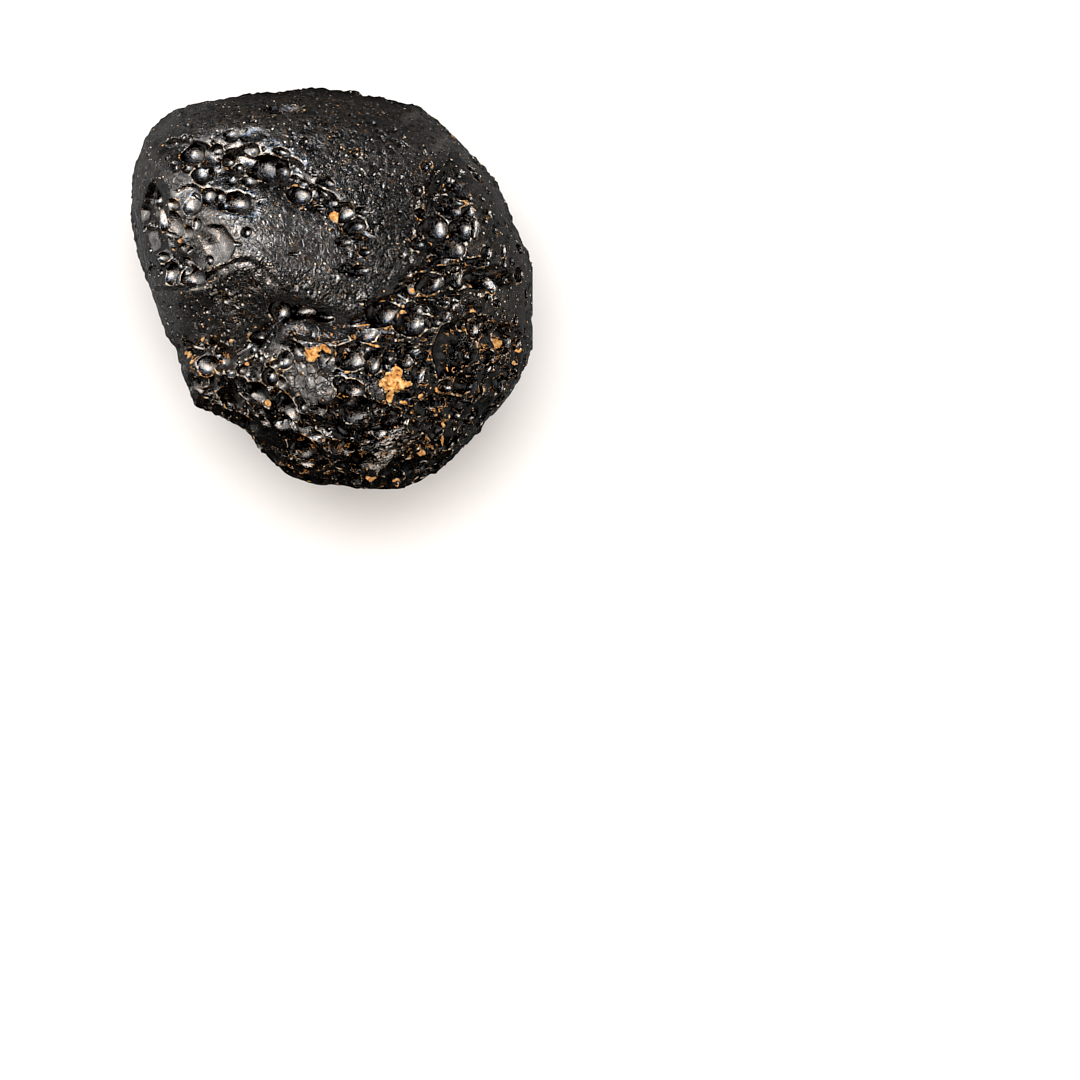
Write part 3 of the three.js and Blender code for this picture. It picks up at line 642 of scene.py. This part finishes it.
    quiet = ellipses(u, v, [(x, y, a + 6, b + 6, t) for x, y, a, b, t in CRACKLE + FIBRE + [(278, 420, 26, 30, 0)]], 0.1)
    loose = skin["rubble"] * (1 - quiet)
    scatter(loose, 120, 0.9, 1.9, 0.46, 65, 0.45)
    scatter(loose, 70, 0.30, 0.6, 0.85, 80, 0.5)
    scatter(skin["right"], 30, 0.22, 0.5, 0.75, 78)
    scatter(crowd, 55, 0.20, 0.45, 0.85, 84, 0.1)
    for _ in range(26):  # chains of bubbles on the sides that the photograph doesn't show
        i = r.choice(np.flatnonzero(hidden[:COARSE] > 0.6))
        way, size = unit(np.cross(n[i], r.normal(size=3))), 0.55 + 0.55 * r.rand()
        at = p0[i].copy()
        for _ in range(r.randint(4, 10)):
            radius = size * (0.7 + 0.6 * r.rand())
            k = near(at, 0.8)
            if len(k):
                j = k[np.argmin(((p0[k] - at) ** 2).sum(1))]
                if n[j, 2] < 0.15:
                    pit(j, radius, radius * (0.7 + 0.3 * r.rand()), math.pi * r.rand(), 0.8, 82, 0.0)
                at = p0[j] + way * radius * (1.2 + 0.5 * r.rand())
                way = unit(way - n[j] * (way @ n[j]) + 0.35 * r.normal(size=3))
    scatter(hidden, 420, 0.25, 0.9, 0.7, 78)
    for px, py, a, b, turn, share, mouth in PITS:
        pit(place(px, py), 1.15 * a * PX, 1.15 * b * PX, math.radians(turn), share * (0.8 if share < 0.9 else 1.0), mouth)
    p0 = p.copy()
    scatter(loose, 160, 0.13, 0.26, 0.9, 85, 0.6)
    scatter(skin["right"], 70, 0.12, 0.24, 0.9, 85, 0.6)
    scatter(skin["matte"], 340, 0.12, 0.24, 0.8, 82, 0.6)
    scatter(skin["hollow"], 110, 0.12, 0.22, 0.8, 82, 0.6)
    scatter(rest, 160, 0.12, 0.24, 0.8, 82, 0.6)
    scatter(hidden, 900, 0.13, 0.30, 0.8, 82, 0.6)

    # ---- clay ----
    fine = Noise(41).layers(base / 0.45, 2)
    clay = shown * ellipses(u + 3 * w1, v + 3 * w2, CLAY, 0.45)
    p += n * (0.12 * smooth(0.35, 0.65, clay + 0.25 * fine) * (1 + 0.6 * fine))[:, None]

    # ---- how sharply the surface bends: 1 on the lips between pits ----
    e = np.concatenate([f[:, [0, 1]], f[:, [1, 2]], f[:, [2, 0]]])  # each edge once each way over the two faces
    now = vertex_normals(p, f)
    bend = ((now[e[:, 1]] - now[e[:, 0]]) * (p[e[:, 1]] - p[e[:, 0]])).sum(1) / np.maximum(((p[e[:, 1]] - p[e[:, 0]]) ** 2).sum(1), 1e-6)
    bend = (np.bincount(e[:, 0], bend, len(p)) + np.bincount(e[:, 1], bend, len(p))) / (np.bincount(e[:, 0], minlength=len(p)) + np.bincount(e[:, 1], minlength=len(p)))
    if levels > 7:  # the finer mesh bends more sharply, so it is averaged over as wide a ring
        count = np.bincount(e[:, 0], minlength=len(p)) + np.bincount(e[:, 1], minlength=len(p))
        for _ in range(2):
            bend = 0.3 * bend + 0.7 * (np.bincount(e[:, 0], bend[e[:, 1]], len(p)) + np.bincount(e[:, 1], bend[e[:, 0]], len(p))) / count
    skin["edge"] = np.clip(bend / 4.0, -1, 2)
    skin["gloss"] = gloss
    skin["crowd"] = crowd
    skin["clay"] = clay
    skin["rust"] = shown * ellipses(uw, vw, RUST, 0.5)
    skin["fibre"] = shown * ellipses(uw, vw, FIBRE, 0.6)
    skin["dim"] = shown * ellipses(uw, vw, PAINTED_SHADE_AREAS, 0.4)
    skin["calm"] = shown * ellipses(uw, vw, CALM, 0.4)
    skin["strip"] = shown * ellipses(u + 3 * w1, v + 3 * w2, STRIP, 0.6)
    skin["crackle"] = shown * ellipses(u + 3 * w1, v + 3 * w2, CRACKLE, 0.3)
    gloss *= 1 - skin["crackle"]
    skin["rough"] = rough
    p[:, 0] = np.clip(p[:, 0], cad_lo[0] / MM, cad_hi[0] / MM)
    p[:, 1] = np.clip(p[:, 1], cad_lo[1] / MM, cad_hi[1] / MM)
    p[:, 2] = np.clip(p[:, 2], 0, cad_hi[2] / MM)
    return p, f, skin


points, faces, skins = build_surface(8)

mesh = bpy.data.meshes.new("tektite_surface")
mesh.vertices.add(len(points))
mesh.vertices.foreach_set("co", (points * MM).astype(np.float32).ravel())
mesh.loops.add(len(faces) * 3)
mesh.loops.foreach_set("vertex_index", faces.astype(np.int32).ravel())
mesh.polygons.add(len(faces))
mesh.polygons.foreach_set("loop_start", np.arange(0, len(faces) * 3, 3, dtype=np.int32))
mesh.polygons.foreach_set("use_smooth", np.ones(len(faces), bool))
for name, values in skins.items():
    mesh.attributes.new(name, "FLOAT", "POINT").data.foreach_set("value", values.astype(np.float32))
mesh.update(calc_edges=True)
tek = bpy.data.objects.new("tektite_surface", mesh)
bpy.context.scene.collection.objects.link(tek)

LIMIT = 196000
if len(faces) > LIMIT:
    thin = tek.modifiers.new("thin", "DECIMATE")
    thin.ratio = LIMIT / len(faces)
    light_mesh = bpy.data.meshes.new_from_object(tek.evaluated_get(bpy.context.evaluated_depsgraph_get()))
    tek.modifiers.clear()
    tek.data = light_mesh
    bpy.data.meshes.remove(mesh)
    light_mesh.name = "tektite_surface"

# ---- material ------------------------------------------------------------------------------------
mat = bpy.data.materials.new("tektite_glass")
mat.use_nodes = True
nt = mat.node_tree
nt.nodes.clear()


def node(kind, inputs=(), **settings):
    n = nt.nodes.new(kind)
    for key, value in settings.items():
        setattr(n, key, value)
    for key, value in dict(inputs).items():
        if isinstance(value, bpy.types.NodeSocket):
            nt.links.new(value, n.inputs[key])
        else:
            n.inputs[key].default_value = value
    return n


def math_(op, a, b=0.0, c=0.0, clamp=False):
    return node("ShaderNodeMath", {0: a, 1: b, 2: c}, operation=op, use_clamp=clamp).outputs[0]


def mul(a, b):
    return math_("MULTIPLY", a, b)


def add(a, b):
    return math_("ADD", a, b)


def ramp(value, lo, hi, out_lo=0.0, out_hi=1.0):
    n = node("ShaderNodeMapRange", {"Value": value, "From Min": lo, "From Max": hi, "To Min": out_lo, "To Max": out_hi},
             interpolation_type="SMOOTHSTEP")
    return n.outputs["Result"]


def mix(factor, a, b):
    n = node("ShaderNodeMix", {"Factor": factor}, data_type="FLOAT")
    for key, value in (("A", a), ("B", b)):
        if isinstance(value, bpy.types.NodeSocket):
            nt.links.new(value, n.inputs[key])
        else:
            n.inputs[key].default_value = value
    return n.outputs[0]


def tint(factor, a, b):
    n = node("ShaderNodeMix", data_type="RGBA")
    for k, value in ((0, factor), (6, a), (7, b)):
        if isinstance(value, bpy.types.NodeSocket):
            nt.links.new(value, n.inputs[k])
        else:
            n.inputs[k].default_value = value if k == 0 else (*value, 1)
    return n.outputs[2]


def skin_of(name):
    return node("ShaderNodeAttribute", attribute_name=name).outputs["Fac"]


def noise(vector, scale, detail=2.0, kind="FBM", rough=0.5):
    n = node("ShaderNodeTexNoise", {"Vector": vector, "Scale": scale, "Detail": detail, "Roughness": rough}, noise_type=kind)
    return n


def cells(vector, scale, **settings):
    return node("ShaderNodeTexVoronoi", {"Vector": vector, "Scale": scale}, **settings)


mm = node("ShaderNodeVectorMath", {0: node("ShaderNodeTexCoord").outputs["Object"], "Scale": 1000.0}, operation="SCALE").outputs[0]
swirl = noise(mm, 0.9, 1.0).outputs["Color"]
swirl = node("ShaderNodeVectorMath", {0: swirl, 1: (0.5, 0.5, 0.5)}, operation="SUBTRACT").outputs[0]
curled = node("ShaderNodeVectorMath", {0: swirl, 1: (1.3, 1.3, 1.3), 2: mm}, operation="MULTIPLY_ADD").outputs[0]
# the grain runs from lower left to upper right
rotated = node("ShaderNodeMapping", {"Vector": curled, "Rotation": (0, 0, math.radians(-38)), "Scale": (0.55, 1.0, 1.0)}, vector_type="TEXTURE")
rotated.inputs["Scale"].default_value = (1.7, 1.0, 1.0)
flow = rotated.outputs[0]

gloss, sheen, matte, hollow = skin_of("gloss"), skin_of("sheen"), skin_of("matte"), skin_of("hollow")
rough, clay, rust, fibre, crackle = skin_of("rough"), skin_of("clay"), skin_of("rust"), skin_of("fibre"), skin_of("crackle")
side_skin, crowd, strip, calm = skin_of("right"), skin_of("crowd"), skin_of("strip"), skin_of("calm")
dim = skin_of("dim")

# heights in mm
worm = math_("ABSOLUTE", add(noise(flow, 1.65, 1.0).outputs["Fac"], -0.5))  # 0 in the grooves between worms
worm = ramp(worm, 0.0, 0.15)
grain = noise(mm, 2.4, 2.0, rough=0.5).outputs["Fac"]
v1 = cells(mm, 1.15, feature="F1")
v2 = cells(mm, 2.3, feature="F1")


def craters(v, size, keep):
    """1 at the bottom of a small round pit, 0 between them; only some cells hold one."""
    chance = node("ShaderNodeSeparateColor", {0: v.outputs["Color"]})
    radius = mul(ramp(chance.outputs["Red"], keep, 1.0), size)
    bowl = math_("SUBTRACT", 1.0, math_("DIVIDE", v.outputs["Distance"], add(radius, 0.001)), clamp=True)
    return math_("POWER", bowl, 0.6)


bubbles = craters(v1, 0.42, 0.35)
bubbles_small = craters(v2, 0.42, 0.45)
skin_amount = math_("SUBTRACT", 1.0, math_("MAXIMUM", math_("MAXIMUM", mul(gloss, 0.94), mul(crowd, 0.85)), math_("MAXIMUM", mul(calm, 0.75), mul(hollow, 0.35))))
satin = math_("MAXIMUM", matte, mul(side_skin, 0.9))
worm_amount = add(0.021, add(mul(satin, -0.008), add(mul(sheen, 0.005), mul(rough, -0.006))))
h = mul(worm, worm_amount)
h = add(h, mul(grain, add(0.035, add(add(mul(satin, -0.015), mul(hollow, 0.03)), mul(sheen, -0.01)))))
h = add(h, mul(bubbles, add(-0.06, add(add(mul(sheen, 0.05), mul(satin, -0.04)), mul(rough, 0.02)))))
h = add(h, mul(bubbles_small, add(-0.03, add(mul(sheen, 0.02), mul(satin, -0.03)))))
# short curved strokes
stroke = ramp(math_("ABSOLUTE", add(noise(flow, 1.55, 1.0).outputs["Fac"], -0.5)), 0.0, 0.085, 1.0, 0.0)
stroke = mul(stroke, ramp(noise(mm, 1.2, 2.0, rough=0.6).outputs["Fac"], 0.42, 0.52))
h = add(h, mul(stroke, add(0.028, add(add(mul(sheen, 0.016), mul(satin, 0.012)), mul(rough, -0.010)))))
h = mul(h, skin_amount)
# hairlines over all of it, and fine lines on the striated strip
hair = math_("ABSOLUTE", add(noise(curled, 3.4, 2.0, rough=0.6).outputs["Fac"], -0.5))
h = add(h, mul(ramp(hair, 0.0, 0.05), add(0.012, mul(math_("MAXIMUM", gloss, crowd), -0.006))))
lines = node("ShaderNodeMapping", {"Vector": curled, "Rotation": (0, 0, math.radians(-45)), "Scale": (5.0, 0.6, 1.0)}, vector_type="TEXTURE").outputs[0]
h = add(h, mul(mul(noise(lines, 2.0, 2.0).outputs["Fac"], strip), 0.12))
# plates of the crackled bulge
plates = node("ShaderNodeTexVoronoi", {"Vector": curled, "Scale": 1.05, "Randomness": 1.0}, feature="DISTANCE_TO_EDGE")
crack = ramp(plates.outputs["Distance"], 0.02, 0.10)
h = add(h, mul(mul(crack, crackle), 0.13))
scale = ramp(math_("ABSOLUTE", add(noise(curled, 1.9, 2.0, rough=0.6).outputs["Fac"], -0.5)), 0.0, 0.14)
h = add(h, mul(mul(scale, crackle), 0.03))
plate = cells(curled, 1.05, feature="F1").outputs  # each plate leans its own way
lean = node("ShaderNodeVectorMath", {0: plate["Color"], 1: (0.5, 0.5, 0.5)}, operation="SUBTRACT").outputs[0]
across = node("ShaderNodeVectorMath", {0: curled, 1: plate["Position"]}, operation="SUBTRACT").outputs[0]
lean = node("ShaderNodeVectorMath", {0: across, 1: lean}, operation="DOT_PRODUCT").outputs["Value"]
h = add(h, mul(mul(lean, crackle), 0.7))
# fibres of drawn glass
fib = node("ShaderNodeMapping", {"Vector": curled, "Rotation": (0, 0, math.radians(28)), "Scale": (4.0, 0.5, 1.0)}, vector_type="TEXTURE").outputs[0]
strands = math_("ABSOLUTE", add(noise(fib, 1.5, 1.0).outputs["Fac"], -0.5))
h = add(h, mul(mul(ramp(strands, 0.0, 0.16), fibre), 0.22))

# clay: crumbs with a crisp, uneven edge
crumb = noise(mm, 5.0, 3.0, rough=0.65).outputs["Fac"]
clot = noise(mm, 2.5, 4.0, rough=0.68).outputs["Fac"]
clay_on = ramp(add(clay, mul(add(clot, -0.5), 2.0)), 0.58, 0.64)
h = mix(clay_on, h, add(0.05, mul(clot, 0.60)))
bump = node("ShaderNodeBump", {"Strength": 1.0, "Distance": 0.001, "Height": h}).outputs[0]

# specks of clay and devitrified glass all over, and dust in between; many of these pale specks and grains are painted
# glints, small highlights standing in for light caught by tiny rims
ragged = node("ShaderNodeVectorMath", {0: noise(mm, 6.0, 1.0).outputs["Color"], 1: (0.26, 0.26, 0.26), 2: mm}, operation="MULTIPLY_ADD").outputs[0]


def grains(v, size, keep):
    """1 on a small grain; only some cells hold one. Also the cell's random numbers."""
    chance = node("ShaderNodeSeparateColor", {0: v.outputs["Color"]}).outputs
    return ramp(math_("SUBTRACT", ramp(chance["Green"], keep, 1.0, 0.0, size), v.outputs["Distance"]), 0.0, 0.03), chance


speck_and_glint, pick = grains(cells(ragged, 1.6, feature="F1"), 0.155, 0.20)
dust_and_glint, shade = grains(cells(ragged, 2.7, feature="F1"), 0.18, 0.55)
veins = math_("ABSOLUTE", add(noise(curled, 1.6, 2.0).outputs["Fac"], -0.5))
patches = ramp(noise(mm, 1.3, 2.0, rough=0.6).outputs["Fac"], 0.56, 0.60)
stain = mul(mul(ramp(veins, 0.024, 0.010), patches), add(0.10, mul(rust, 0.90)))

glass = tint(noise(mm, 0.35, 2.0).outputs["Fac"], (0.0050, 0.0049, 0.0048), (0.0085, 0.0080, 0.0074))
glass = tint(mul(satin, ramp(grain, 0.28, 0.60)), glass, (0.0215, 0.0190, 0.0160))  # finely etched; its paler base colour is also painted sheen, standing in for the haze of light such a surface reflects
# painted shade: the glass is darker over those areas
glass = tint(mul(dim, 0.75), glass, (0.0050, 0.0046, 0.0042))
glass = tint(mul(strip, 0.8), glass, (0.052, 0.048, 0.043))
# darkest glass on the rubble and the unseen sides; on the lower lobe this is painted shade, as that side faces away
# from the light
glass = tint(rough, glass, (0.0010, 0.0010, 0.0009))
glass = tint(hollow, glass, (0.0085, 0.0080, 0.0074))
# the crackled plates are paler grey glass, and that pale base colour is also painted light, standing in for the light
# the raised bulge catches
glass = tint(mul(crackle, mul(crack, add(0.45, mul(scale, 0.55)))), glass, (0.115, 0.111, 0.107))
# the fibre strands' crests are painted pale grey-brown and the highest near white: painted highlights, standing in for
# the light the fibres catch
glass = tint(mul(mul(fibre, ramp(strands, 0.05, 0.12)), ramp(crumb, 0.38, 0.56)), glass, (0.30, 0.25, 0.21))
glass = tint(mul(mul(fibre, ramp(strands, 0.13, 0.18)), ramp(crumb, 0.45, 0.55)), glass, (0.85, 0.80, 0.72))
# painted shade: the darkest glass in the pits and in the troughs they crowd in
glass = tint(math_("MAXIMUM", gloss, mul(crowd, 0.8)), glass, (0.0013, 0.0012, 0.0012))
colour = tint(stain, glass, (0.72, 0.34, 0.10))
warm = add(ramp(pick["Red"], 0.55, 0.72), mul(rust, 0.5))
# cream and orange for the specks: partly the colour of real grains, partly painted glints
speck_and_glint_colour = tint(math_("MINIMUM", warm, 1.0), (0.95, 0.83, 0.64), (0.95, 0.48, 0.14))
bare = math_("SUBTRACT", 1.0, mul(gloss, 0.85))  # the pits are cleaner, with fewer specks and fewer painted glints
# pale dust grains, thickest on the satin skin: partly real dust, partly painted glints
colour = tint(mul(bare, mul(dust_and_glint, add(0.28, mul(satin, 0.67)))), colour, tint(ramp(shade["Red"], 0.7, 0.9), (0.90, 0.86, 0.78), (0.85, 0.48, 0.18)))
colour = tint(mul(speck_and_glint, bare), colour, speck_and_glint_colour)
# cream and orange on the sharp lips between pits: partly dust and wear on the edges, partly painted highlights where
# the lips catch the light
edge = ramp(add(skin_of("edge"), mul(add(crumb, -0.5), 1.6)), 0.60, 0.80)
edge = mul(edge, add(0.12, mul(ramp(noise(mm, 2.1, 2.0).outputs["Fac"], 0.47, 0.57), 0.88)))
beads = grains(cells(ragged, 3.0, feature="F1"), 0.24, 0.15)[0]  # the lips carry beads as well as lines
edge = math_("MAXIMUM", mul(edge, 0.75), mul(ramp(skin_of("edge"), 0.38, 0.55), beads))
colour = tint(edge, colour, tint(math_("MINIMUM", warm, 1.0), (0.80, 0.73, 0.60), (0.75, 0.40, 0.14)))
# the clay's colour follows its height: dark brown in the low gaps and pale yellow on the tops, painted shade and
# painted highlights over the ochre
clay_colour = tint(ramp(clot, 0.37, 0.47), (0.16, 0.055, 0.010), (0.82, 0.35, 0.07))
clay_colour = tint(ramp(clot, 0.50, 0.62), clay_colour, (1.0, 0.70, 0.31))
colour = tint(clay_on, colour, clay_colour)

r = add(0.19, mul(add(grain, -0.5), 0.20))
r = mix(sheen, r, 0.31)
r = mix(satin, r, add(r, 0.08))
r = mix(rough, r, add(mul(r, 0.5), 0.06))
r = mix(crowd, r, 0.13)
r = mix(gloss, r, 0.17)
r = mix(crackle, r, 0.26)
r = mix(speck_and_glint, r, 0.45)
r = mix(clay_on, r, 0.9)

bsdf = node("ShaderNodeBsdfPrincipled", {"Base Color": colour, "Roughness": r, "IOR": 1.5, "Normal": bump,
                                         "Specular IOR Level": 1.0})
out_ = node("ShaderNodeOutputMaterial", {"Surface": bsdf.outputs[0]})
tek.data.materials.append(mat)

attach(tek, "root")
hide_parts("tektite")

# ---- floor, light, camera --------------------------------------------------------------------------
floor_mesh = bpy.data.meshes.new("floor")
floor_mesh.from_pydata([(-3, -3, 0), (3, -3, 0), (3, 3, 0), (-3, 3, 0)], [], [(0, 1, 2, 3)])
floor = bpy.data.objects.new("floor", floor_mesh)
bpy.context.scene.collection.objects.link(floor)
white = bpy.data.materials.new("paper")
white.use_nodes = True
nt = white.node_tree
paper = nt.nodes["Principled BSDF"]
paper.inputs["Base Color"].default_value = (0.86, 0.86, 0.86, 1)
paper.inputs["Roughness"].default_value = 0.9
paper.inputs["Specular IOR Level"].default_value = 0.0
# far from the stone, past the lamps' reach, the paper stays as pale
away = node("ShaderNodeVectorMath", {0: node("ShaderNodeTexCoord").outputs["Object"]}, operation="LENGTH").outputs["Value"]
paper.inputs["Emission Color"].default_value = (1, 1, 1, 1)
nt.links.new(ramp(away, 0.30, 1.30, 0.0, 0.95), paper.inputs["Emission Strength"])
# what the glass mirrors beside the stone: paper that is lit on the left and right and lies in shadow below
toward = node("ShaderNodeVectorMath", {0: node("ShaderNodeTexCoord").outputs["Object"]}, operation="NORMALIZE").outputs[0]
glow = 0.04
for turn, inner, outer, strength in ((165, 0.85, 0.53, 0.22), (12, 0.82, 0.34, 0.17)):
    ahead = (math.cos(math.radians(turn)), math.sin(math.radians(turn)), 0.0)
    ahead = node("ShaderNodeVectorMath", {0: toward, 1: ahead}, operation="DOT_PRODUCT").outputs["Value"]
    glow = add(glow, ramp(ahead, outer, inner, 0.0, strength))
card = node("ShaderNodeEmission", {"Color": (1, 1, 1, 1), "Strength": glow})
either = node("ShaderNodeMixShader", {0: node("ShaderNodeLightPath").outputs["Is Glossy Ray"], 1: paper.outputs[0], 2: card.outputs[0]})
nt.links.new(either.outputs[0], nt.nodes["Material Output"].inputs["Surface"])
floor_mesh.materials.append(white)

# A dark studio with one broad soft light nearly overhead; the camera sees a pale backdrop.
world = bpy.data.worlds.new("studio")
bpy.context.scene.world = world
world.use_nodes = True
nt = world.node_tree
nt.nodes.clear()
way = node("ShaderNodeTexCoord").outputs["Generated"]


def lobe(azimuth, elevation, inner, outer, strength):
    """A soft round light: full inside the inner angle, nothing outside the outer one."""
    a, e = math.radians(azimuth), math.radians(elevation)
    axis = (math.cos(a) * math.cos(e), math.sin(a) * math.cos(e), math.sin(e))
    c = node("ShaderNodeVectorMath", {0: way, 1: axis}, operation="DOT_PRODUCT").outputs["Value"]
    return ramp(c, math.cos(math.radians(outer)), math.cos(math.radians(inner)), 0.0, strength)


rays = node("ShaderNodeLightPath").outputs
level = add(0.004, lobe(162, 65, 0, 28, 10.0))
level = add(level, lobe(168, 24, 0, 36, 2.4))
level = add(level, lobe(140, 45, 5, 68, 0.15))
level = add(level, lobe(348, 22, 4, 28, 0.7))
level = add(level, lobe(285, 20, 2, 14, 1.6))
level = mix(rays["Is Glossy Ray"], 0.004, level)
level = mix(rays["Is Camera Ray"], level, 1.0)
sky = node("ShaderNodeBackground", {"Color": tint(rays["Is Camera Ray"], (1.0, 0.97, 0.935), (1, 1, 1)), "Strength": level})
node("ShaderNodeOutputWorld", {"Surface": sky.outputs[0]})


def softbox(name, azimuth, elevation, distance, width, height, radiance, color=(1, 1, 1)):
    light = bpy.data.lights.new(name, "AREA")
    light.shape = "RECTANGLE"
    light.size, light.size_y = width, height
    light.energy = radiance * width * height * math.pi
    light.color = color
    o = bpy.data.objects.new(name, light)
    a, e = math.radians(azimuth), math.radians(elevation)
    o.location = Vector((math.cos(a) * math.cos(e), math.sin(a) * math.cos(e), math.sin(e))) * distance
    o.rotation_euler = (-o.location).to_track_quat("-Z", "Y").to_euler()
    bpy.context.scene.collection.objects.link(o)
    return o


# what the glass mirrors: a window with a warm and a cool edge, none of which reaches the paper
for name, azimuth, elevation, wide, high, radiance, color in (
    ("window", 152, 62, 0.16, 0.13, 15.0, (1.0, 0.97, 0.92)),
    ("amber", 183, 61, 0.12, 0.15, 13.0, (1.0, 0.48, 0.18)),
    ("blue", 119, 59, 0.11, 0.14, 9.0, (0.32, 0.58, 1.0)),
    ("side", 62, 12, 0.05, 0.10, 5.0, (0.92, 0.96, 1.0)),
):
    softbox(name, azimuth, elevation, 0.6, wide, high, radiance, color).visible_diffuse = False
# what lights the paper and the clay
softbox("fill", 100, 64, 0.9, 0.90, 0.60, 3.4).visible_glossy = False
softbox("ceiling", 90, 88, 1.0, 2.0, 2.0, 2.2, (1.0, 0.93, 0.88)).visible_glossy = False

cam_data = bpy.data.cameras.new("camera")
cam_data.sensor_width = 36
cam_data.lens = 36 * REACH / (1080 * PX)
cam_data.clip_start, cam_data.clip_end = 0.05, 10
cam = bpy.data.objects.new("camera", cam_data)
cam.location = CAM * MM
bpy.context.scene.collection.objects.link(cam)
bpy.context.scene.camera = cam
view = bpy.context.scene.view_settings
view.view_transform = "Standard"
view.use_curve_mapping = True  # deep blacks, as in the photograph
view.curve_mapping.black_level = (0.0044, 0.0044, 0.0044)
view.curve_mapping.update()

# the picture is slightly sharpened, as a camera does
bpy.context.scene.use_nodes = True
nt = bpy.context.scene.node_tree
nt.nodes.clear()
capped = node("CompositorNodeMixRGB", {0: 1.0, 1: node("CompositorNodeRLayers").outputs["Image"], 2: (1, 1, 1, 1)}, blend_type="DARKEN")
even = node("CompositorNodeGamma", {0: capped.outputs[0], 1: 1 / 2.2})
crisp = node("CompositorNodeFilter", {0: 0.04, 1: even.outputs[0]}, filter_type="SHARPEN")
node("CompositorNodeComposite", {0: node("CompositorNodeGamma", {0: crisp.outputs[0], 1: 2.2}).outputs[0]})
